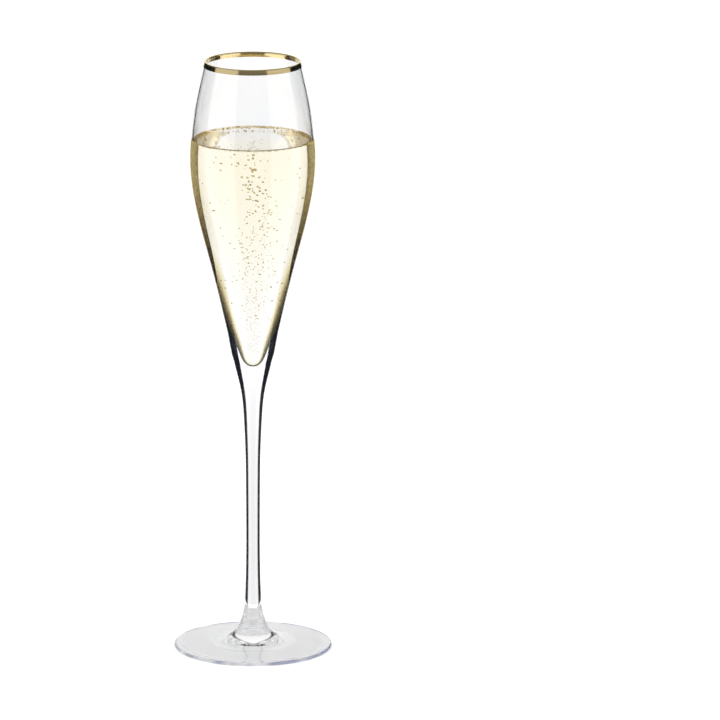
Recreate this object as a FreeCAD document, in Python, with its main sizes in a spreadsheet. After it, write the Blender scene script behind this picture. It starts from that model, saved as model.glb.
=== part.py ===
"""A stemmed champagne flute with a gold rim, filled with wine.

Millimetres, +Z up. The origin is the centre of the foot's contact face, so the glass stands on z = 0 and
its axis is the Z axis. Every piece is a turned shape: a closed outline of radius and height in the body's
XZ plane, revolved about Z. The pieces are fused hot on the real glass, so they meet face to face.
"""
import FreeCAD, Part
import math
import os
import Sketcher

# A station is a point of an outline: NAME_radius from the axis and NAME_height above the table.
DIMENSIONS = {
    # Lip: a fire-polished bead on a wall that leans inwards, under a film of gold.
    "bead_radius": 0.52,
    "bead_centre_radius": 21.36,
    "bead_centre_height": 272.48,
    "gold_film": 0.12,
    "wall_lean": 0.22,
    "mouth_radius": 22.3,
    "mouth_height": 270.7,
    "inner_mouth_radius": 21.24,
    "inner_mouth_height": 270.7,
    # Outside of the bowl, down to its seam with the stem.
    "shoulder_radius": 26.1,
    "shoulder_height": 252.9,
    "chest_radius": 27.5,
    "chest_height": 242.6,
    "belly_radius": 28.5,
    "belly_height": 230.4,
    "flank_radius": 26.34,
    "flank_height": 208.0,
    "taper_radius": 19.36,
    "taper_height": 179.9,
    "base_radius": 13.18,
    "base_height": 154.5,
    "seam_radius": 8.55,
    "seam_height": 133.5,
    "seam_lean": 0.22,
    "seat_height": 127.4,
    # Cavity of the bowl: a hollow that narrows to a rounded point in the thick base.
    "hollow_shoulder_radius": 25.05,
    "hollow_shoulder_height": 252.9,
    "hollow_chest_radius": 26.4,
    "hollow_chest_height": 242.6,
    "hollow_belly_radius": 27.35,
    "hollow_belly_height": 230.4,
    "hollow_flank_radius": 24.8,
    "hollow_flank_height": 208.0,
    "hollow_taper_radius": 19.2,
    "hollow_taper_height": 189.3,
    "hollow_waist_radius": 12.3,
    "hollow_waist_height": 170.6,
    "hollow_base_radius": 8.3,
    "hollow_base_height": 155.5,
    "hollow_nose_radius": 4.0,
    "hollow_nose_height": 139.4,
    "hollow_tip_height": 133.2,
    # Stem: a flared throat, a long slim shank and an ankle that widens again.
    "throat_radius": 5.42,
    "throat_height": 120.1,
    "neck_radius": 4.07,
    "neck_height": 106.0,
    "shank_radius": 3.35,
    "shank_height": 88.0,
    "shin_radius": 3.22,
    "shin_height": 72.0,
    "slim_radius": 3.12,
    "slim_height": 54.0,
    "calf_radius": 3.39,
    "calf_height": 31.0,
    "ankle_radius": 3.92,
    "ankle_height": 18.6,
    # Foot: a cone-shaped boss, the disc's upper face, its rounded edge and the hollow underneath.
    "boss_radius": 5.5,
    "boss_height": 12.4,
    "cone_radius": 7.5,
    "cone_height": 8.1,
    "spread_radius": 10.3,
    "spread_height": 5.3,
    "apron_radius": 14.4,
    "apron_height": 3.9,
    "disc_radius": 22.0,
    "disc_height": 2.9,
    "edge_radius": 0.75,
    "edge_centre_radius": 35.25,
    "kick_radius": 19.5,
    "kick_height": 1.3,
    # Wine.
    "fill_height": 236.0,
}

UP = FreeCAD.Vector(0, 0, 1)
# A place is a radius and a height, each an expression in the spreadsheet's names, or one of these.
AXIS = "0"
TABLE = "0"


def make_sheet(doc):
    """The spreadsheet that drives every sketch, with one named cell for each dimension."""
    sheet = doc.addObject("Spreadsheet::Sheet", "Dimensions")
    for row, (name, value) in enumerate(DIMENSIONS.items(), start=1):
        sheet.set(f"A{row}", name)
        sheet.set(f"B{row}", str(value))
        sheet.setAlias(f"B{row}", name)
    doc.recompute()


def cell(name):
    return f"Dimensions.{name}"


def station(name, grow=""):
    """A station's radius and height as expressions. grow is added to the radius."""
    return cell(f"{name}_radius") + grow, cell(f"{name}_height")


def on_axis(height):
    return AXIS, cell(height)


class Outline:
    """A closed outline, drawn as with a pen: each call runs on from where the last one stopped."""

    def __init__(self, body):
        self.sketch = body.newObject("Sketcher::SketchObject", f"{body.Label}_outline")
        plane = next(f for f in body.Origin.OriginFeatures if f.Role == "XZ_Plane")
        self.sketch.AttachmentSupport = [(plane, "")]
        self.sketch.MapMode = "FlatFace"
        self.first_end = None
        self.last_end = None
        self.pen = None

    def number(self, expression):
        return float(self.sketch.evalExpression(expression))

    def where(self, place):
        return FreeCAD.Vector(self.number(place[0]), self.number(place[1]), 0)

    def constrain(self, kind, *terms):
        return self.sketch.addConstraint(Sketcher.Constraint(kind, *terms))

    def bind(self, kind, terms, expression):
        """A size constraint that follows the spreadsheet."""
        index = self.constrain(kind, *terms, self.number(expression))
        self.sketch.setExpression(f"Constraints[{index}]", expression)

    def fix(self, end, place):
        """Put one end of a curve at a place."""
        if place[0] == AXIS:
            self.constrain("PointOnObject", *end, -2)
        else:
            self.bind("DistanceX", (-1, 1, *end), place[0])
        if place[1] == TABLE:
            self.constrain("PointOnObject", *end, -1)
        else:
            self.bind("DistanceY", (-1, 1, *end), place[1])

    def run_on(self, start, end, tangent=False):
        """Join a new curve to the last one and move the pen to its far end."""
        if self.last_end is None:
            self.first_end = start
        else:
            self.constrain("Tangent" if tangent else "Coincident", *self.last_end, *start)
        self.last_end = end

    def start(self, place):
        self.pen = place

    def line_to(self, place):
        index = self.sketch.addGeometry(Part.LineSegment(self.where(self.pen), self.where(place)), False)
        self.run_on((index, 1), (index, 2))
        self.fix((index, 2), place)
        self.pen = place

    def spline_to(self, places, leave=None, arrive=None):
        """A smooth curve through places. leave and arrive are its directions at the two ends."""
        points = [self.where(place) for place in [self.pen, *places]]
        free = FreeCAD.Vector(0, 0, 0)
        directions = [free] * len(points)
        if leave:
            directions[0] = leave.normalize()
        if arrive:
            directions[-1] = arrive.normalize()
        curve = Part.BSplineCurve()
        flags = [direction.Length > 0 for direction in directions]
        curve.interpolate(Points=points, Tangents=directions, TangentFlags=flags, Scale=False)
        index = self.sketch.addGeometry(curve, False)
        self.run_on((index, 1), (index, 2))
        self.sketch.exposeInternalGeometry(index)
        first_knot = self.sketch.GeometryCount - len(points)
        for knot, place in enumerate(places, start=first_knot + 1):
            self.fix((knot, 1), place)
        self.pen = places[-1]

    def arc_to(self, place, clockwise):
        """An arc whose centre is on the axis."""
        start, end = self.where(self.pen), self.where(place)
        middle = (start.x**2 + start.y**2 - end.x**2 - end.y**2) / (2 * (start.y - end.y))
        centre = FreeCAD.Vector(0, middle, 0)
        circle = Part.Circle(centre, UP, (start - centre).Length)
        angles = [math.atan2(p.y - middle, p.x) for p in (start, end)]
        if clockwise:
            angles.reverse()
        index = self.sketch.addGeometry(Part.ArcOfCircle(circle, *angles), False)
        ends = ((index, 2), (index, 1)) if clockwise else ((index, 1), (index, 2))
        self.run_on(*ends)
        self.fix(ends[1], place)
        self.constrain("PointOnObject", index, 3, -2)
        self.pen = place

    def round_edge_to(self, place, radius):
        """A clockwise half circle that ends at place, straight below its start."""
        start, end = self.where(self.pen), self.where(place)
        circle = Part.Circle((start + end) / 2, UP, self.number(radius))
        index = self.sketch.addGeometry(Part.ArcOfCircle(circle, -math.pi / 2, math.pi / 2), False)
        self.run_on((index, 2), (index, 1))
        self.constrain("Vertical", index, 3, index, 1)
        self.fix((index, 1), place)
        self.pen = place

    def lip_to(self, place, radius, clockwise):
        """Up one side of the lip, over its bead and down to place. The walls are tangent to the bead."""
        centre = self.where((cell("bead_centre_radius"), cell("bead_centre_height")))
        size = self.number(radius)
        start, end = self.where(self.pen), self.where(place)
        turn = 1 if clockwise else -1
        start_angle = touch_angle(start, centre, size, -turn)
        end_angle = touch_angle(end, centre, size, turn)
        reaches = [FreeCAD.Vector(math.cos(a), math.sin(a), 0) * size for a in (start_angle, end_angle)]
        touches = [centre + reach for reach in reaches]
        up = self.sketch.addGeometry(Part.LineSegment(start, touches[0]), False)
        self.run_on((up, 1), (up, 2))
        angles = (end_angle, start_angle) if clockwise else (start_angle, end_angle)
        bead = self.sketch.addGeometry(Part.ArcOfCircle(Part.Circle(centre, UP, size), *angles), False)
        ends = ((bead, 2), (bead, 1)) if clockwise else ((bead, 1), (bead, 2))
        self.run_on(*ends, tangent=True)
        down = self.sketch.addGeometry(Part.LineSegment(touches[1], end), False)
        self.run_on((down, 1), (down, 2), tangent=True)
        self.fix((bead, 3), (cell("bead_centre_radius"), cell("bead_centre_height")))
        self.bind("Radius", (bead,), radius)
        self.fix((down, 2), place)
        self.pen = place

    def close(self):
        self.constrain("Coincident", *self.last_end, *self.first_end)
        return self.sketch


def touch_angle(point, centre, radius, side):
    """Where on a circle a line from point touches it: side is 1 for the outer side, -1 for the inner."""
    reach = point - centre
    angle = math.atan2(reach.y, reach.x) + side * math.acos(radius / reach.Length)
    return angle % (2 * math.pi)


def revolve(body, outline):
    """Turn a closed outline into the body's solid."""
    solid = body.newObject("PartDesign::Revolution", f"{body.Label}_turned")
    solid.Profile = outline.close()
    solid.ReferenceAxis = (outline.sketch, ["V_Axis"])
    solid.Angle = 360
    outline.sketch.Visibility = False


def make_body(doc, name):
    body = doc.addObject("PartDesign::Body", name)
    body.Label = name
    body.Placement = FreeCAD.Placement()
    return body


def leaning(outline, name, upwards=False):
    """The direction of a wall that narrows by a lean for each unit of height."""
    lean = outline.number(cell(name))
    return FreeCAD.Vector(-lean, 1, 0) if upwards else FreeCAD.Vector(lean, -1, 0)


def draw_hollow(outline):
    """The inside of the bowl, from its rounded point up to the mouth."""
    names = ["nose", "base", "waist", "taper", "flank", "belly", "chest", "shoulder"]
    outline.spline_to(
        [*[station(f"hollow_{name}") for name in names], station("inner_mouth")],
        leave=FreeCAD.Vector(1, 0, 0),
        arrive=leaning(outline, "wall_lean", upwards=True),
    )


def make_bowl(doc):
    """The blown bowl: an even wall above, a thick base below, rounded where the stem is fused on."""
    body = make_body(doc, "bowl")
    outline = Outline(body)
    outline.start(on_axis("hollow_tip_height"))
    draw_hollow(outline)
    outline.lip_to(station("mouth"), cell("bead_radius"), clockwise=True)
    names = ["shoulder", "chest", "belly", "flank", "taper", "base", "seam"]
    outline.spline_to(
        [station(name) for name in names],
        leave=leaning(outline, "wall_lean"),
        arrive=FreeCAD.Vector(-outline.number(cell("seam_lean")), -1, 0),
    )
    outline.arc_to(on_axis("seat_height"), clockwise=True)
    outline.line_to(on_axis("hollow_tip_height"))
    revolve(body, outline)
    return body


def make_stem(doc):
    """The solid stem: it cups the bowl's base in its flared throat and stands on the foot's boss."""
    body = make_body(doc, "stem")
    outline = Outline(body)
    outline.start(on_axis("seat_height"))
    outline.arc_to(station("seam"), clockwise=False)
    names = ["throat", "neck", "shank", "shin", "slim", "calf", "ankle"]
    outline.spline_to(
        [station(name) for name in names],
        leave=FreeCAD.Vector(-outline.number(cell("seam_lean")), -1, 0),
    )
    outline.line_to(on_axis("ankle_height"))
    outline.line_to(on_axis("seat_height"))
    revolve(body, outline)
    return body


def make_foot(doc):
    """The round foot: a boss under the stem, a thin disc and a shallow hollow inside its contact ring."""
    body = make_body(doc, "foot")
    outline = Outline(body)
    outline.start(station("ankle"))
    names = ["boss", "cone", "spread", "apron", "disc"]
    edge_top = (cell("edge_centre_radius"), cell("edge_radius") + " * 2")
    outline.spline_to([*[station(name) for name in names], edge_top], arrive=FreeCAD.Vector(1, 0, 0))
    outline.round_edge_to((cell("edge_centre_radius"), TABLE), cell("edge_radius"))
    outline.line_to((cell("kick_radius"), TABLE))
    outline.arc_to(on_axis("kick_height"), clockwise=False)
    outline.line_to(on_axis("ankle_height"))
    outline.line_to(station("ankle"))
    revolve(body, outline)
    return body


def make_gold_rim(doc):
    """The gold band: a film over the lip, down to the same height inside and out."""
    body = make_body(doc, "gold_rim")
    outline = Outline(body)
    film = cell("gold_film")
    outline.start(station("inner_mouth"))
    outline.lip_to(station("mouth"), cell("bead_radius"), clockwise=True)
    outline.line_to(station("mouth", f" + {film}"))
    outline.lip_to(station("inner_mouth", f" - {film}"), f"{cell('bead_radius')} + {film}", clockwise=False)
    outline.line_to(station("inner_mouth"))
    revolve(body, outline)
    return body


def make_champagne(doc):
    """The wine: the bowl's hollow, cut off level at the fill height."""
    body = make_body(doc, "champagne")
    outline = Outline(body)
    outline.start(on_axis("hollow_tip_height"))
    draw_hollow(outline)
    outline.line_to(on_axis("inner_mouth_height"))
    outline.line_to(on_axis("hollow_tip_height"))
    revolve(body, outline)
    doc.recompute()
    brimful = body.Shape.Volume
    sketch = body.newObject("Sketcher::SketchObject", "champagne_level")
    plane = next(f for f in body.Origin.OriginFeatures if f.Role == "XY_Plane")
    sketch.AttachmentSupport = [(plane, "")]
    sketch.MapMode = "FlatFace"
    sketch.setExpression("AttachmentOffset.Base.z", cell("fill_height"))
    circle = Part.Circle(FreeCAD.Vector(0, 0, 0), UP, 2 * DIMENSIONS["belly_radius"])
    index = sketch.addGeometry(circle, False)
    sketch.addConstraint(Sketcher.Constraint("Coincident", index, 3, -1, 1))
    size = sketch.addConstraint(Sketcher.Constraint("Radius", index, 2 * DIMENSIONS["belly_radius"]))
    sketch.setExpression(f"Constraints[{size}]", f"2 * {cell('belly_radius')}")
    cut = body.newObject("PartDesign::Pocket", "champagne_headspace")
    cut.Profile = sketch
    cut.Type = "ThroughAll"
    cut.Reversed = True
    sketch.Visibility = False
    doc.recompute()
    if not 0 < body.Shape.Volume < brimful:
        raise RuntimeError("the cut above the wine removed nothing")
    return body


def check(doc, bodies):
    """Stop before anything is written if an object failed or a solid isn't sound."""
    failed = [o.Name for o in doc.Objects if {"Invalid", "Error"} & set(o.State)]
    if failed:
        raise RuntimeError(f"failed objects: {failed}")
    for body in bodies:
        if body.Shape.isNull() or not body.Shape.isValid() or len(body.Shape.Solids) != 1:
            raise RuntimeError(f"{body.Label} is not one sound solid")


def main():
    doc = FreeCAD.newDocument("champagne_flute")
    make_sheet(doc)
    makers = [make_bowl, make_stem, make_foot, make_gold_rim, make_champagne]
    bodies = [make(doc) for make in makers]
    doc.recompute()
    check(doc, bodies)
    os.makedirs("parts", exist_ok=True)
    for body in bodies:
        body.Shape.exportStep(f"parts/{body.Label}.step")
        box = body.Shape.BoundBox
        print(f"{body.Label}: {body.Shape.Volume / 1000:.2f} cm3, z {box.ZMin:.2f} to {box.ZMax:.2f}")


main()
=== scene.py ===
"""A champagne flute with a gold rim: blown glass, wine with its bubbles, and the white studio round it.

Metres, +Z up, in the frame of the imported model. Every piece of the glass is turned on a lathe about Z from
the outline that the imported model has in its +X half plane.
"""
import math
import random

import bmesh
import bpy
import numpy as np
from mathutils import Matrix, Vector


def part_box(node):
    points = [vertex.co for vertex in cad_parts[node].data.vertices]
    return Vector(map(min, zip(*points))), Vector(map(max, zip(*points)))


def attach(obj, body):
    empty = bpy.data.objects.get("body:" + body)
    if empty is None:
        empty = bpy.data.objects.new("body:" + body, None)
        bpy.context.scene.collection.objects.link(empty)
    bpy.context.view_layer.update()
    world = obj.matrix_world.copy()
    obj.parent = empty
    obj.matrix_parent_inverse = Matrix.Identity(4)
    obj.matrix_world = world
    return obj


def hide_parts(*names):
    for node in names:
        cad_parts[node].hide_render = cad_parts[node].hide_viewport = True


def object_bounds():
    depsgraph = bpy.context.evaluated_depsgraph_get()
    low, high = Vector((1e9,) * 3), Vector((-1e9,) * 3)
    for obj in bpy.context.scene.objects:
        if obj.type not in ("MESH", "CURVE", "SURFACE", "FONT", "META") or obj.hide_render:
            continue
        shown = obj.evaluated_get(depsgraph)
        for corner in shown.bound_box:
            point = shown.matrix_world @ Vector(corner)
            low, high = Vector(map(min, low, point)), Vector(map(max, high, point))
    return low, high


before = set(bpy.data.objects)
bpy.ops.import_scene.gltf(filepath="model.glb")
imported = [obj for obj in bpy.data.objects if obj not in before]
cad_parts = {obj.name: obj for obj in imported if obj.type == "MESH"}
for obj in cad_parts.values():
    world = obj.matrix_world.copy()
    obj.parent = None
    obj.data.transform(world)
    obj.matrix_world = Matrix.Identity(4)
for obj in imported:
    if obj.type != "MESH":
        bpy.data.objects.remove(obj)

CAD_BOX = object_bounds()
BODY = "root"
MM = 0.001

# Lathe work.
TURNS = 192  # facets round the axis
FINER = 3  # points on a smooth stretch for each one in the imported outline
CORNER = math.radians(25)
SAME = 1e-7

# Wine at the wall.
MENISCUS_RISE = 1.5 * MM
MENISCUS_REACH = 1.5 * MM
WINE_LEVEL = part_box("champagne")[1].z
WINE_EDGE = WINE_LEVEL + MENISCUS_RISE
FOOT_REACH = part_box("foot")[1].x
GLASS_IOR = 1.52
WINE_IOR = 1.34
SKIN = 0.02 * MM
GOLD_DEEP = (0.6, 0.46, 0.21)
GOLD_PALE = (0.82, 0.7, 0.4)
WINE_BODY = (0.99, 0.8, 0.05)
# Darker, browner tint of the wine's surface where it climbs the wall.
WINE_CLIMB_TONE = (0.62, 0.45, 0.2)
GAS_LOW = (0.6, 0.43, 0.14)
GAS_HIGH = (1.0, 0.8, 0.32)
# Painted shade on the foot's outer edge: dark navy.
FOOT_EDGE_PAINTED_SHADE = (0.22, 0.26, 0.44)
# Painted shade on the wine at its wall, darker the more the eye grazes it: 0 is straight on and 1 is edge
# on. It stands in for the dark room seen through the wall's edge.
WALL_PAINTED_SHADE = [
    (0.24, (1.0, 1.0, 1.0)),
    (0.32, (0.82, 0.76, 0.5)),
    (0.39, (0.42, 0.34, 0.19)),
    (0.47, (0.17, 0.14, 0.07)),
    (0.6, (0.06, 0.055, 0.035)),
]

BUBBLE_TURNS, BUBBLE_RINGS = 8, 6  # facets of one bubble, round it and from pole to pole
BUBBLE_BATCH = 25
BUBBLE_CLEARANCE = 1.04
COLUMN_BUBBLES = 330
COLUMN_OFFSET = 1.2 * MM
COLUMN_SWAY = 2.6 * MM
COLUMN_WAVES = 160  # radians of sway for each metre of height
STRAY_BUBBLES = 80
WALL_BUBBLES = 90
FROTH_BEADS = 420

# The dim room, from straight down to straight up.
ROOM_COLOURS = [
    (0.0, (3, 3, 3)),
    (0.3, (0.5, 0.6, 0.9)),
    (0.5, (1.0, 0.97, 0.93)),
    (1.0, (2.5, 2.5, 2.5)),
]

# Studio. Angles are measured at the glass, from the direction of the camera.
CAMERA_DISTANCE = 3.36
CAMERA_HEIGHT = 0.944
FRAME_WIDTH = 0.3273
AIM_ASIDE = 0.0487
AIM_HEIGHT = 0.13443
CAMERA_ROLL = math.radians(-0.05)
SENSOR = 36.0
VIEW_MARGIN = 1.03
FLOOR_GAP = 0.05 * MM
CONTACT_RADIUS = 0.0318
PATCH_RADIUS = 0.0366
PATCH_BEHIND = 0.056
DAYLIGHT = 1.75
BACKDROP_DISTANCE = 0.137
BACKDROP_REACH = 0.08


# ---------------------------------------------------------------------------------------------- outlines
def packed_outline(node):
    """A turned node's outline as (radius, height) points, from its lowest point on the axis."""
    bm = bmesh.new()
    bm.from_mesh(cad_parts[node].data)
    bmesh.ops.remove_doubles(bm, verts=bm.verts, dist=SAME)
    near = {v for v in bm.verts if abs(v.co.y) < SAME and v.co.x > -SAME}
    here = min((v for v in near if abs(v.co.x) < SAME), key=lambda v: v.co.z)
    walked = [here]
    while here is not None:
        ahead = (edge.other_vert(here) for edge in here.link_edges)
        here = next((v for v in ahead if v in near and v not in walked), None)
        walked += [here] if here is not None else []
    points = [(max(v.co.x, 0.0), v.co.z) for v in walked]
    bm.free()
    return points


def spline_stretch(points):
    """A smooth curve through points that has FINER points for each of them."""
    knots = np.array(points)
    gaps = np.hypot(*np.diff(knots, axis=0).T)
    count = len(knots)
    system = np.zeros((count, count))
    target = np.zeros((count, 2))
    system[0, :2] = 2, 1
    system[-1, -2:] = 1, 2
    slopes = np.diff(knots, axis=0) / gaps[:, None]
    target[0], target[-1] = 3 * slopes[0], 3 * slopes[-1]
    for i in range(1, count - 1):
        system[i, i - 1 : i + 2] = gaps[i], 2 * (gaps[i - 1] + gaps[i]), gaps[i - 1]
        target[i] = 3 * (gaps[i] * slopes[i - 1] + gaps[i - 1] * slopes[i])
    tangents = np.linalg.solve(system, target)
    curve = [knots[0]]
    for i, gap in enumerate(gaps):
        for t in np.arange(1, FINER + 1) / FINER:
            ends = knots[i] * (2 * t**3 - 3 * t**2 + 1) + knots[i + 1] * (3 * t**2 - 2 * t**3)
            pulls = tangents[i] * (t**3 - 2 * t**2 + t) + tangents[i + 1] * (t**3 - t**2)
            curve.append(ends + pulls * gap)
    return [tuple(map(float, point)) for point in curve]


def turn_at(before, here, after):
    """How far an outline turns at a point."""
    first = math.atan2(here[1] - before[1], here[0] - before[0])
    second = math.atan2(after[1] - here[1], after[0] - here[0])
    return abs((second - first + math.pi) % (2 * math.pi) - math.pi)


def smooth_outline(points, corner=CORNER):
    """The outline with its curved stretches made smooth and its corners kept."""
    turns = zip(points, points[1:], points[2:])
    corners = [i for i, three in enumerate(turns, start=1) if turn_at(*three) > corner]
    marks = [0, *corners, len(points) - 1]
    curve = [points[0]]
    for first, last in zip(marks, marks[1:]):
        stretch = points[first : last + 1]
        curve += (spline_stretch(stretch) if len(stretch) > 2 else stretch)[1:]
    return curve


def cut_at_height(outline, height):
    """The outline with a point added wherever it crosses a height."""
    cut = [outline[0]]
    for (r0, z0), (r1, z1) in zip(outline, outline[1:]):
        if (z0 - height) * (z1 - height) < 0:
            share = (height - z0) / (z1 - z0)
            cut.append((r0 + (r1 - r0) * share, height))
        cut.append((r1, z1))
    return cut


def moved_aside(outline, distance):
    """The outline moved to its right by a distance."""
    moved = []
    for before, here, after in zip([outline[0], *outline], outline, [*outline[1:], outline[-1]]):
        along = Vector((after[0] - before[0], after[1] - before[1])).normalized()
        moved.append((here[0] + along.y * distance, here[1] - along.x * distance))
    return moved


# ------------------------------------------------------------------------------------------------ pieces
def radial(normal, middle):
    """How much a face looks away from the axis."""
    reach = math.hypot(middle.x, middle.y)
    return (normal.x * middle.x + normal.y * middle.y) / reach if reach > SAME else 0.0


def turned(name, outline, slots, pick):
    """A piece turned about Z. slots are its materials. pick gives the slot of a face from its height and
    from how much it looks up and away from the axis."""
    bm = bmesh.new()
    verts = [bm.verts.new((radius, 0, height)) for radius, height in outline]
    edges = [bm.edges.new(pair) for pair in zip(verts, verts[1:])]
    bmesh.ops.spin(
        bm, geom=verts + edges, cent=(0, 0, 0), axis=(0, 0, 1), angle=math.tau, steps=TURNS, use_merge=True
    )
    bmesh.ops.remove_doubles(bm, verts=bm.verts, dist=SAME)
    bmesh.ops.recalc_face_normals(bm, faces=bm.faces)
    for face in bm.faces:
        face.smooth = True
        middle = face.calc_center_median()
        face.material_index = pick(middle.z, face.normal.z, radial(face.normal, middle))
    mesh = bpy.data.meshes.new(name)
    bm.to_mesh(mesh)
    bm.free()
    mesh.set_sharp_from_angle(angle=CORNER)
    for material in slots:
        mesh.materials.append(material)
    piece = bpy.data.objects.new(name, mesh)
    bpy.context.scene.collection.objects.link(piece)
    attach(piece, BODY)
    return piece


GLASS, HIDDEN = 0, 1


def make_bowl(glass, hidden):
    """The blown bowl. Its faces on the wine, under the gold and on the stem are left to the other piece."""
    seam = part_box("stem")[1].z
    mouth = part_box("gold_rim")[0].z
    outline = cut_at_height(smooth_outline(packed_outline("bowl")), WINE_EDGE)

    def pick(height, up, away):
        wetted = away < 0 and height < WINE_EDGE
        fused = away > 0 and height < seam
        return HIDDEN if wetted or fused or height > mouth else GLASS

    piece = turned("blown_bowl", outline, [glass, hidden], pick)
    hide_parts("bowl")


def make_stem(glass, hidden):
    """The drawn stem, fused to the bowl above and to the foot below."""
    outline = smooth_outline(packed_outline("stem"))

    def pick(height, up, away):
        return HIDDEN if away < -0.05 or abs(up) > 0.9 else GLASS

    piece = turned("drawn_stem", outline, [glass, hidden], pick)
    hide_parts("stem")


def make_foot(glass, hidden):
    """The pressed foot, fused to the stem on top of its boss."""
    outline = [(radius, max(height, 0.0)) for radius, height in smooth_outline(packed_outline("foot"))]
    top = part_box("foot")[1].z - 0.01 * MM

    def pick(height, up, away):
        return HIDDEN if height > top and up > 0.9 else GLASS

    piece = turned("pressed_foot", outline, [glass, hidden], pick)
    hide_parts("foot")


def make_gold(gold):
    """The gold band: the lip's own outline, and the same outline a film thicker."""
    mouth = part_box("gold_rim")[0].z
    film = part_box("gold_rim")[1].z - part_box("bowl")[1].z
    whole = cut_at_height(smooth_outline(packed_outline("bowl")), mouth)
    lip = [point for point in whole if point[1] > mouth - SAME]
    outline = [*lip, *reversed(moved_aside(lip, film)), lip[0]]
    piece = turned("gold_band", outline, [gold], lambda height, up, away: 0)
    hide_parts("gold_rim")


OPEN_SURFACE = "open_surface"


def make_wine(material):
    """The wine: it fills the bowl's hollow, but for a skin, and climbs a little up the wall all round."""
    whole = cut_at_height(smooth_outline(packed_outline("bowl")), WINE_EDGE)
    highest = max(range(len(whole)), key=lambda i: whole[i][1])
    inside = [point for point in whole[highest:] if point[1] < WINE_EDGE + SAME]
    inside = moved_aside(inside, -SKIN)
    inside[-1] = (0.0, inside[-1][1])
    wall = inside[0][0]
    surface = []
    for share in np.linspace(0.0, 1.0, 24, endpoint=False)[1:]:
        depth = 6 * MENISCUS_REACH * share**2
        surface.append((wall - depth, WINE_LEVEL + MENISCUS_RISE * math.exp(-depth / MENISCUS_REACH)))
    flat = [(wall * share, WINE_LEVEL) for share in (0.6, 0.3, 0.0)]
    outline = [*reversed(inside), *surface, *flat]

    piece = turned("wine", outline, [material], lambda height, up, away: 0)
    marks = piece.data.attributes.new(OPEN_SURFACE, "FLOAT", "FACE")
    for face, mark in zip(piece.data.polygons, marks.data):
        reach = math.hypot(face.center.x, face.center.y)
        mark.value = float(face.normal.z > 0.2 and face.center.z > WINE_LEVEL - SKIN and reach < wall)
    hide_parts("champagne")
    return inside


class Bubbles:
    """Bubbles that don't touch each other, gathered into one piece. Batches keep the blowing quick."""

    def __init__(self):
        self.bm = bmesh.new()
        self.batch = bmesh.new()
        self.placed = []

    def blow(self, centre, radius):
        """Blow one bubble, unless another is in its way."""
        for other, size in self.placed:
            if (other - centre).length < (size + radius) * BUBBLE_CLEARANCE:
                return
        self.placed.append((centre, radius))
        bmesh.ops.create_uvsphere(
            self.batch,
            u_segments=BUBBLE_TURNS,
            v_segments=BUBBLE_RINGS,
            radius=radius,
            matrix=Matrix.Translation(centre),
        )
        if len(self.placed) % BUBBLE_BATCH == 0:
            self.gather()

    def gather(self):
        mesh = bpy.data.meshes.new("batch")
        self.batch.to_mesh(mesh)
        self.bm.from_mesh(mesh)
        self.batch.clear()
        bpy.data.meshes.remove(mesh)

    def piece(self, name, material):
        self.gather()
        self.batch.free()
        for face in self.bm.faces:
            face.smooth = True
        mesh = bpy.data.meshes.new(name)
        self.bm.to_mesh(mesh)
        self.bm.free()
        mesh.materials.append(material)
        piece = bpy.data.objects.new(name, mesh)
        bpy.context.collection.objects.link(piece)
        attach(piece, BODY)
        return piece


def make_bubbles(inside, gas):
    """Bubbles rising in the wine: a wandering column, strays beside it, and small ones held on the wall."""
    draw = random.Random(12)
    heights, reaches = zip(*sorted((height, radius) for radius, height in inside))

    def room_at(height):
        return float(np.interp(height, heights, reaches))

    def blow_at(away, turn, height, radius):
        away = min(away, room_at(height - radius) - 1.5 * radius, room_at(height) - 1.5 * radius)
        if away > 0 and height + radius < WINE_LEVEL - SKIN:
            bubbles.blow(Vector((away * math.cos(turn), away * math.sin(turn), height)), radius)

    bubbles = Bubbles()
    bottom = min(heights)
    for _ in range(COLUMN_BUBBLES):
        share = draw.random() ** 0.8
        height = WINE_LEVEL - 1.0 * MM - share * (WINE_LEVEL - bottom - 8 * MM)
        sway = COLUMN_SWAY * math.sin(height * COLUMN_WAVES) * (1 - share)
        spread = (1.8 + 2.2 * share) * MM
        across, along = sway + COLUMN_OFFSET + draw.gauss(0, spread), draw.gauss(0, spread)
        radius = (0.5 - 0.38 * share**0.55) * draw.uniform(0.7, 1.2) * MM
        blow_at(math.hypot(across, along), math.atan2(along, across), height, radius)
    for _ in range(STRAY_BUBBLES):
        height = draw.uniform(bottom + 20 * MM, WINE_LEVEL - 2 * MM)
        away = room_at(height) * math.sqrt(draw.random()) * 0.92
        blow_at(away, draw.uniform(0, math.tau), height, draw.uniform(0.16, 0.36) * MM)
    for _ in range(WALL_BUBBLES):
        height = WINE_LEVEL - abs(draw.gauss(0, 32)) * MM - 1.5 * MM
        radius = draw.uniform(0.18, 0.34) * MM
        blow_at(room_at(height), draw.uniform(0, math.tau), max(height, bottom + 30 * MM), radius)
    bubbles.piece("bubbles", gas)


def make_froth(inside, skin):
    """A thin, broken line of froth where the wine climbs the wall, and a few beads adrift."""
    draw = random.Random(5)
    wall = inside[0][0]
    froth = Bubbles()
    for _ in range(FROTH_BEADS):
        radius = draw.uniform(0.2, 0.55) * MM
        depth = radius * 1.15 + abs(draw.gauss(0, 0.5)) * MM
        if draw.random() < 0.12:
            depth += draw.uniform(0, 9) * MM
        turn = draw.uniform(0, math.tau)
        height = WINE_LEVEL + MENISCUS_RISE * math.exp(-depth / MENISCUS_REACH) + 0.35 * radius
        away = wall - depth
        froth.blow(Vector((away * math.cos(turn), away * math.sin(turn), height)), radius)
    froth.piece("froth", skin)


# --------------------------------------------------------------------------------------------- materials
def new_material(name):
    material = bpy.data.materials.new(name)
    material.use_nodes = True
    nodes = material.node_tree.nodes
    nodes.clear()
    return material, nodes, material.node_tree.links


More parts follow.
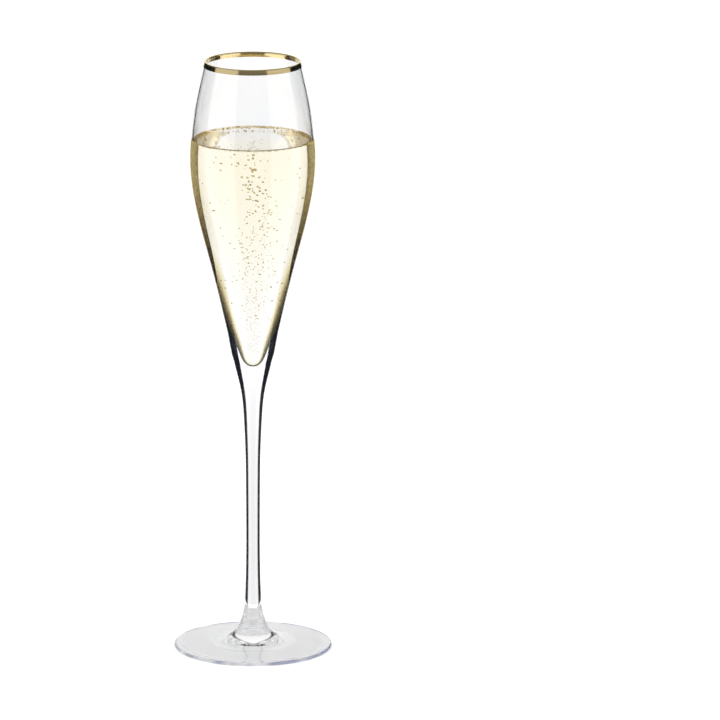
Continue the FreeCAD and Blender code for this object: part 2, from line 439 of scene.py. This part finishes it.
def ramp_of(nodes, links, value, stops):
    """The colour that a value has on a ramp. A stop is a position and a colour."""
    ramp = nodes.new("ShaderNodeValToRGB")
    elements = ramp.color_ramp.elements
    while len(elements) < len(stops):
        elements.new(1.0)
    for element, (position, colour) in zip(elements, stops):
        element.position = position
        element.color = (*colour, 1)
    links.new(value, ramp.inputs["Fac"])
    return ramp.outputs["Color"]


def cloud_of(nodes, links, place, scale, detail=2.0):
    """Soft noise over the piece."""
    cloud = nodes.new("ShaderNodeTexNoise")
    cloud.inputs["Scale"].default_value = scale
    cloud.inputs["Detail"].default_value = detail
    links.new(place, cloud.inputs["Vector"])
    return cloud.outputs["Fac"]


def spread_of(nodes, links, value, first, last, start=0.0, end=1.0, smooth=False):
    """A value taken from the range first to last onto the range start to end."""
    spread = nodes.new("ShaderNodeMapRange")
    if smooth:
        spread.interpolation_type = "SMOOTHSTEP"
    spread.inputs["From Min"].default_value = first
    spread.inputs["From Max"].default_value = last
    spread.inputs["To Min"].default_value = start
    spread.inputs["To Max"].default_value = end
    links.new(value, spread.inputs["Value"])
    return spread.outputs["Result"]


def scaled(nodes, links, place, factors):
    """A place with each of its coordinates multiplied."""
    product = nodes.new("ShaderNodeVectorMath")
    product.operation = "MULTIPLY"
    product.inputs[1].default_value = factors
    links.new(place, product.inputs[0])
    return product.outputs["Vector"]


def product_of(nodes, links, first, second):
    product = nodes.new("ShaderNodeMath")
    product.operation = "MULTIPLY"
    links.new(first, product.inputs[0])
    links.new(second, product.inputs[1])
    return product.outputs[0]


def height_of(nodes, links, place):
    split = nodes.new("ShaderNodeSeparateXYZ")
    links.new(place, split.inputs[0])
    return split.outputs["Z"]


def hand_worked_surface():
    """Slight unevenness of hand-worked glass, as a normal: swells longer up the glass than round it."""
    group = bpy.data.node_groups.new("hand_worked_surface", "ShaderNodeTree")
    depth = group.interface.new_socket("Depth", in_out="INPUT", socket_type="NodeSocketFloat")
    depth.default_value = 0.1
    group.interface.new_socket("Normal", in_out="OUTPUT", socket_type="NodeSocketVector")
    nodes, links = group.nodes, group.links
    given = nodes.new("NodeGroupInput")
    result = nodes.new("NodeGroupOutput")
    place = nodes.new("ShaderNodeTexCoord").outputs["Object"]
    swell = nodes.new("ShaderNodeTexNoise")
    swell.inputs["Scale"].default_value = 1.0
    swell.inputs["Detail"].default_value = 1.5
    swell.inputs["Roughness"].default_value = 0.4
    links.new(scaled(nodes, links, place, (60, 60, 22)), swell.inputs["Vector"])
    bump = nodes.new("ShaderNodeBump")
    bump.inputs["Distance"].default_value = 0.2 * MM
    links.new(given.outputs["Depth"], bump.inputs["Strength"])
    links.new(swell.outputs["Fac"], bump.inputs["Height"])
    links.new(bump.outputs["Normal"], result.inputs["Normal"])
    return group


def foot_edge_painted_shade(nodes, links, place):
    """How much painted shade the foot's glass has: all of it on its outer edge, in broken stretches. It
    stands in for the dark room seen through the edge.
    """
    flat = scaled(nodes, links, place, (1, 1, 0))
    reach = nodes.new("ShaderNodeVectorMath")
    reach.operation = "LENGTH"
    links.new(flat, reach.inputs[0])
    first, last = FOOT_REACH - 0.9 * MM, FOOT_REACH - 0.35 * MM
    edge = spread_of(nodes, links, reach.outputs["Value"], first, last, smooth=True)
    broken = spread_of(nodes, links, cloud_of(nodes, links, flat, 75.0), 0.38, 0.56)
    return product_of(nodes, links, edge, broken)


def crystal(name, depth, surface, painted_dark_edge=False):
    """Clear crystal, hardly tinted. depth is how uneven its surface is. The foot's edge is painted dark navy
    in broken stretches: painted shade for the dark room seen through it."""
    material, nodes, links = new_material(name)
    out = nodes.new("ShaderNodeOutputMaterial")
    uneven = nodes.new("ShaderNodeGroup")
    uneven.node_tree = surface
    uneven.inputs["Depth"].default_value = depth
    place = nodes.new("ShaderNodeTexCoord").outputs["Object"]
    cloud = cloud_of(nodes, links, place, 45.0, 3.0)
    tint = ramp_of(nodes, links, cloud, [(0.3, (0.985, 0.99, 1.0)), (0.7, (1, 1, 1))])
    # The foot's outer edge is painted dark navy: painted shade.
    if painted_dark_edge:
        painted_edge_mix = nodes.new("ShaderNodeMix")
        painted_edge_mix.data_type = "RGBA"
        painted_edge_mix.inputs["B"].default_value = (*FOOT_EDGE_PAINTED_SHADE, 1)
        links.new(foot_edge_painted_shade(nodes, links, place), painted_edge_mix.inputs["Factor"])
        links.new(tint, painted_edge_mix.inputs["A"])
        tint = painted_edge_mix.outputs["Result"]
    shader = nodes.new("ShaderNodeBsdfPrincipled")
    shader.inputs["Roughness"].default_value = 0.0
    shader.inputs["IOR"].default_value = GLASS_IOR
    shader.inputs["Transmission Weight"].default_value = 1.0
    links.new(tint, shader.inputs["Base Color"])
    links.new(uneven.outputs["Normal"], shader.inputs["Normal"])
    links.new(shader.outputs["BSDF"], out.inputs["Surface"])
    return material


def fused_seam():
    """Where two pieces of glass are one, or another piece shows instead: nothing to see."""
    material, nodes, links = new_material("fused_seam")
    out = nodes.new("ShaderNodeOutputMaterial")
    shader = nodes.new("ShaderNodeBsdfTransparent")
    links.new(shader.outputs["BSDF"], out.inputs["Surface"])
    return material


def gold_lustre():
    """Brushed-on liquid gold, fired: pale, a little streaky round the rim and dulled in specks."""
    material, nodes, links = new_material("gold_lustre")
    out = nodes.new("ShaderNodeOutputMaterial")
    shader = nodes.new("ShaderNodeBsdfPrincipled")
    place = nodes.new("ShaderNodeTexCoord").outputs["Object"]
    streak = cloud_of(nodes, links, scaled(nodes, links, place, (40, 40, 2600)), 1.0)
    colour = ramp_of(nodes, links, streak, [(0.3, GOLD_DEEP), (0.7, GOLD_PALE)])
    links.new(colour, shader.inputs["Base Color"])
    speck = cloud_of(nodes, links, place, 900.0, 4.0)
    links.new(spread_of(nodes, links, speck, 0.35, 0.75, 0.07, 0.22), shader.inputs["Roughness"])
    ripple = nodes.new("ShaderNodeBump")
    ripple.inputs["Strength"].default_value = 0.12
    ripple.inputs["Distance"].default_value = 0.1 * MM
    links.new(streak, ripple.inputs["Height"])
    links.new(ripple.outputs["Normal"], shader.inputs["Normal"])
    shader.inputs["Metallic"].default_value = 1.0
    links.new(shader.outputs["BSDF"], out.inputs["Surface"])
    return material


def champagne_wine():
    """Pale gold wine. The open_surface attribute says where it meets air, and elsewhere it meets glass.

    Where the eye grazes the wall the wine is painted dark gold by a ramp on the viewing slant: painted shade
    for the dark room seen through the edge.
    Fine gas clings to the wall in the upper part. It is a diffuse layer lit by the lamps, and its amount
    grows at a slant: a painted sheen on the wine's edges."""
    material, nodes, links = new_material("champagne_wine")
    out = nodes.new("ShaderNodeOutputMaterial")
    place = nodes.new("ShaderNodeTexCoord").outputs["Object"]
    height = height_of(nodes, links, place)
    surface = nodes.new("ShaderNodeAttribute")
    surface.attribute_name = OPEN_SURFACE
    slant = nodes.new("ShaderNodeLayerWeight")
    slant.inputs["Blend"].default_value = 0.5
    facing = nodes.new("ShaderNodeNewGeometry")
    inwards = nodes.new("ShaderNodeMath")
    inwards.operation = "SUBTRACT"
    inwards.inputs[0].default_value = 1.0
    links.new(facing.outputs["Backfacing"], inwards.inputs[1])

    # The open surface, darker and browner where the wine climbs the wall.
    against_air = nodes.new("ShaderNodeBsdfPrincipled")
    against_air.inputs["Roughness"].default_value = 0.0
    against_air.inputs["IOR"].default_value = WINE_IOR
    against_air.inputs["Transmission Weight"].default_value = 1.0
    climb = spread_of(nodes, links, height, WINE_LEVEL + 0.2 * MM, WINE_LEVEL + 0.9 * MM, smooth=True)
    clear_to_climb_tone = ramp_of(nodes, links, climb, [(0.0, (1, 1, 1)), (1.0, WINE_CLIMB_TONE)])
    links.new(clear_to_climb_tone, against_air.inputs["Base Color"])

    # The wall, and the gas on it. The gas is a diffuse layer lit by the lamps, and its amount grows where
    # the eye grazes the wall: a painted sheen on the wine's edges.
    against_glass = nodes.new("ShaderNodeBsdfGlass")
    against_glass.inputs["Roughness"].default_value = 0.0
    against_glass.inputs["IOR"].default_value = WINE_IOR / GLASS_IOR
    # Painted shade: the wine at the wall darkens by viewing slant.
    painted_shade_slant = product_of(nodes, links, slant.outputs["Facing"], inwards.outputs[0])
    links.new(ramp_of(nodes, links, painted_shade_slant, WALL_PAINTED_SHADE), against_glass.inputs["Color"])
    gas = nodes.new("ShaderNodeBsdfDiffuse")
    # The gas is darker gold lower down and paler from about 0.225 m up.
    gas_tone_by_height = spread_of(nodes, links, height, 0.2, 0.225, smooth=True)
    links.new(ramp_of(nodes, links, gas_tone_by_height, [(0.0, GAS_LOW), (1.0, GAS_HIGH)]), gas.inputs["Color"])
    # Painted sheen: more of the lit gas layer where the eye grazes the wall.
    painted_sheen_slant = spread_of(nodes, links, slant.outputs["Facing"], 0.15, 0.27, 0.01, 0.6, smooth=True)
    upper = spread_of(nodes, links, height, 0.185, 0.215, smooth=True)
    patchy = spread_of(nodes, links, cloud_of(nodes, links, place, 700.0, 3.0), 0.3, 0.7, 0.6, 1.2)
    amount = product_of(nodes, links, product_of(nodes, links, painted_sheen_slant, upper), patchy)
    wall = nodes.new("ShaderNodeMixShader")
    links.new(product_of(nodes, links, amount, inwards.outputs[0]), wall.inputs[0])
    links.new(against_glass.outputs["BSDF"], wall.inputs[1])
    links.new(gas.outputs["BSDF"], wall.inputs[2])

    mix = nodes.new("ShaderNodeMixShader")
    links.new(surface.outputs["Fac"], mix.inputs[0])
    links.new(wall.outputs["Shader"], mix.inputs[1])
    links.new(against_air.outputs["BSDF"], mix.inputs[2])
    links.new(mix.outputs["Shader"], out.inputs["Surface"])
    body = nodes.new("ShaderNodeVolumeAbsorption")
    body.inputs["Color"].default_value = (*WINE_BODY, 1)
    body.inputs["Density"].default_value = 5.0
    links.new(body.outputs["Volume"], out.inputs["Volume"])
    return material


def bubble_gas():
    """Gas inside the wine, which bends light the other way from the wine round it."""
    material, nodes, links = new_material("bubble_gas")
    out = nodes.new("ShaderNodeOutputMaterial")
    place = nodes.new("ShaderNodeTexCoord").outputs["Object"]
    mood = cloud_of(nodes, links, place, 160.0)
    shader = nodes.new("ShaderNodeBsdfGlass")
    shader.inputs["Roughness"].default_value = 0.0
    shader.inputs["IOR"].default_value = 1 / WINE_IOR
    tint = ramp_of(nodes, links, mood, [(0.3, (0.72, 0.62, 0.36)), (0.7, (0.95, 0.9, 0.75))])
    links.new(tint, shader.inputs["Color"])
    links.new(shader.outputs["BSDF"], out.inputs["Surface"])
    return material


def froth_skin():
    """Wet beads of froth in the air, some clear and some stained with wine."""
    material, nodes, links = new_material("froth_skin")
    out = nodes.new("ShaderNodeOutputMaterial")
    place = nodes.new("ShaderNodeTexCoord").outputs["Object"]
    mood = cloud_of(nodes, links, place, 240.0, 3.0)
    shader = nodes.new("ShaderNodeBsdfPrincipled")
    shader.inputs["Roughness"].default_value = 0.05
    shader.inputs["IOR"].default_value = WINE_IOR
    shader.inputs["Transmission Weight"].default_value = 0.85
    tint = ramp_of(nodes, links, mood, [(0.38, (0.6, 0.46, 0.22)), (0.6, (0.97, 0.95, 0.9))])
    links.new(tint, shader.inputs["Base Color"])
    links.new(shader.outputs["BSDF"], out.inputs["Surface"])
    return material


# ------------------------------------------------------------------------------------------------ studio
def make_camera():
    """A shift camera: it points at the middle of the glass, and the frame is moved aside."""
    camera = bpy.data.objects.new("camera", bpy.data.cameras.new("camera"))
    bpy.context.scene.collection.objects.link(camera)
    low, high = CAD_BOX
    middle, reach = (low + high) / 2, (high - low).length / 2
    place = Vector((0, -CAMERA_DISTANCE, CAMERA_HEIGHT))
    view = middle - place
    upright = view.to_track_quat("-Z", "Y").to_matrix() @ Matrix.Rotation(CAMERA_ROLL, 3, "Z")
    camera.matrix_world = Matrix.Translation(place) @ upright.to_4x4()
    camera.data.sensor_fit = "VERTICAL"
    camera.data.sensor_height = SENSOR
    camera.data.lens = SENSOR * view.length / FRAME_WIDTH
    # The vertical fit doesn't use the width. Other views stand off by it, and this puts them as far off as
    # this one, so that the backdrop stays where it belongs behind the glass.
    stand_off = VIEW_MARGIN * reach / view.length
    camera.data.sensor_width = 2 * camera.data.lens * math.tan(math.asin(stand_off))
    camera.data.shift_x = AIM_ASIDE / FRAME_WIDTH
    camera.data.shift_y = (AIM_HEIGHT - middle.z) * CAMERA_DISTANCE / view.length / FRAME_WIDTH
    camera.data.clip_end = 100
    bpy.context.scene.camera = camera
    bpy.context.view_layer.update()
    return camera


def glow(name, colour, low, high, low_height=-1.0, high_height=0.6):
    """A lit card, whose brightness goes from low to high with height. The table sees each card as white."""
    material, nodes, links = new_material(name)
    out = nodes.new("ShaderNodeOutputMaterial")
    place = nodes.new("ShaderNodeTexCoord").outputs["Object"]
    grade = spread_of(nodes, links, height_of(nodes, links, place), low_height, high_height, low, high)
    path = nodes.new("ShaderNodeLightPath")
    lights_table = nodes.new("ShaderNodeMath")
    lights_table.operation = "MINIMUM"
    lights_table.inputs[1].default_value = 1.0
    links.new(path.outputs["Diffuse Depth"], lights_table.inputs[0])
    card = nodes.new("ShaderNodeEmission")
    card.inputs["Color"].default_value = (*colour, 1)
    links.new(grade, card.inputs["Strength"])
    white = nodes.new("ShaderNodeEmission")
    white.inputs["Strength"].default_value = DAYLIGHT
    mix = nodes.new("ShaderNodeMixShader")
    links.new(lights_table.outputs[0], mix.inputs[0])
    links.new(card.outputs["Emission"], mix.inputs[1])
    links.new(white.outputs["Emission"], mix.inputs[2])
    links.new(mix.outputs["Shader"], out.inputs["Surface"])
    material.cycles.emission_sampling = "NONE"
    return material


def staged(name, mesh, material):
    thing = bpy.data.objects.new(name, mesh)
    mesh.materials.append(material)
    bpy.context.scene.collection.objects.link(thing)
    return thing


def follow_camera(camera, card):
    """The glass sees the card, and neither the eye nor the table does."""
    card.visible_camera = False
    card.visible_diffuse = False
    card.visible_shadow = False
    card.visible_volume_scatter = False
    card.parent = camera
    card.matrix_parent_inverse = camera.matrix_world.inverted()


def make_card(camera, name, first, last, material, low=-2.5, high=2.5, radius=2.5):
    """A curved card round the glass, from one angle to another. 0 is the camera's side, 90 its right."""
    bm = bmesh.new()
    start = math.radians(first - 90)
    foot = Vector((math.cos(start) * radius, math.sin(start) * radius, low))
    verts = [bm.verts.new(foot), bm.verts.new(foot + Vector((0, 0, high - low)))]
    edge = bm.edges.new(verts)
    bmesh.ops.spin(
        bm, geom=[*verts, edge], cent=(0, 0, 0), axis=(0, 0, 1), angle=math.radians(last - first), steps=24
    )
    mesh = bpy.data.meshes.new(name)
    bm.to_mesh(mesh)
    bm.free()
    follow_camera(camera, staged(name, mesh, material))


def make_backdrop(camera, material):
    """A narrow white card close behind the glass, so that the glass keeps dark edges."""
    bm = bmesh.new()
    low, high = -0.3, 0.42
    turn = Matrix.Rotation(math.radians(90), 4, "X")
    size = Matrix.Diagonal((BACKDROP_REACH, 1, (high - low) / 2, 1))
    place = Matrix.Translation((0, BACKDROP_DISTANCE, (low + high) / 2))
    bmesh.ops.create_grid(bm, x_segments=1, y_segments=1, size=1, matrix=place @ size @ turn)
    mesh = bpy.data.meshes.new("backdrop")
    bm.to_mesh(mesh)
    bm.free()
    follow_camera(camera, staged("backdrop", mesh, material))


def make_floor_ring(name, inner, outer, first, last, material, height=-FLOOR_GAP):
    """Part of a flat ring round the glass, from one angle to another. 0 is +X and 90 is +Y."""
    bm = bmesh.new()
    start = math.radians(first)
    way = Vector((math.cos(start), math.sin(start), 0))
    verts = [bm.verts.new(way * radius + Vector((0, 0, height))) for radius in (inner, outer)]
    edge = bm.edges.new(verts)
    steps = max(12, round((last - first) / 3))
    sweep = math.radians(last - first)
    bmesh.ops.spin(bm, geom=[*verts, edge], cent=(0, 0, 0), axis=(0, 0, 1), angle=sweep, steps=steps)
    bmesh.ops.remove_doubles(bm, verts=bm.verts, dist=SAME)
    bmesh.ops.recalc_face_normals(bm, faces=bm.faces)
    mesh = bpy.data.meshes.new(name)
    bm.to_mesh(mesh)
    bm.free()
    return staged(name, mesh, material)


def make_table():
    """A white table. The glass mirrors and shows only the patch under its foot and a little behind it."""
    material, nodes, links = new_material("white_table")
    out = nodes.new("ShaderNodeOutputMaterial")
    shader = nodes.new("ShaderNodeBsdfDiffuse")
    shader.inputs["Color"].default_value = (0.9, 0.9, 0.9, 1)
    links.new(shader.outputs["BSDF"], out.inputs["Surface"])
    # The middle of the foot sits flush on the table, and its outer edge stands just clear.
    make_floor_ring("table_contact", 0, CONTACT_RADIUS, 0, 360, material, height=SKIN)
    make_floor_ring("table_patch", CONTACT_RADIUS, PATCH_RADIUS, 0, 360, material)
    make_floor_ring("table_behind", PATCH_RADIUS, PATCH_BEHIND, 0, 180, material)
    for rest in (
        make_floor_ring("table_front", PATCH_RADIUS, PATCH_BEHIND, 180, 360, material),
        make_floor_ring("table_rest", PATCH_BEHIND, 4.0, 0, 360, material),
    ):
        rest.visible_transmission = False
        rest.visible_glossy = False


def make_world():
    """White to the eye and for lighting the table, and a dim room to what the glass mirrors and bends."""
    world = bpy.data.worlds.new("studio")
    bpy.context.scene.world = world
    world.use_nodes = True
    world.cycles.sampling_method = "NONE"
    nodes, links = world.node_tree.nodes, world.node_tree.links
    nodes.clear()
    out = nodes.new("ShaderNodeOutputWorld")
    path = nodes.new("ShaderNodeLightPath")
    seen = nodes.new("ShaderNodeMath")
    seen.operation = "MAXIMUM"
    links.new(path.outputs["Is Camera Ray"], seen.inputs[0])
    links.new(path.outputs["Diffuse Depth"], seen.inputs[1])
    seen.use_clamp = True
    room = nodes.new("ShaderNodeBackground")
    direction = nodes.new("ShaderNodeTexCoord").outputs["Generated"]
    upwards = spread_of(nodes, links, height_of(nodes, links, direction), -1.0, 1.0)
    links.new(ramp_of(nodes, links, upwards, ROOM_COLOURS), room.inputs["Color"])
    room.inputs["Strength"].default_value = 0.16
    white = nodes.new("ShaderNodeBackground")
    white.inputs["Strength"].default_value = DAYLIGHT
    mix = nodes.new("ShaderNodeMixShader")
    links.new(seen.outputs[0], mix.inputs[0])
    links.new(room.outputs[0], mix.inputs[1])
    links.new(white.outputs[0], mix.inputs[2])
    links.new(mix.outputs[0], out.inputs["Surface"])


def make_studio():
    camera = make_camera()
    make_world()
    make_table()
    make_backdrop(camera, glow("backdrop_glow", (1, 1, 1), 0.94, 1.08, 0.03, 0.13))
    softbox = glow("softbox_glow", (1, 1, 1), 1.6, 0.8)
    make_card(camera, "softbox_right", 34, 97, softbox)
    make_card(camera, "softbox_left", -97, -34, softbox)
    dark = glow("dark_card_glow", (0.62, 0.72, 1.0), 0.024, 0.024)
    make_card(camera, "dark_card", 97, 263, dark, high=1.1)


def main():
    hidden = fused_seam()
    surface = hand_worked_surface()
    make_bowl(crystal("blown_crystal", 0.06, surface), hidden)
    make_stem(crystal("drawn_crystal", 0.05, surface), hidden)
    make_foot(crystal("pressed_crystal", 0.12, surface, painted_dark_edge=True), hidden)
    make_gold(gold_lustre())
    inside = make_wine(champagne_wine())
    make_bubbles(inside, bubble_gas())
    make_froth(inside, froth_skin())
    make_studio()
    scene = bpy.context.scene
    scene.view_settings.view_transform = "Standard"
    scene.cycles.max_bounces = 40
    scene.cycles.transmission_bounces = 40
    scene.cycles.glossy_bounces = 24
    scene.cycles.transparent_max_bounces = 40


main()
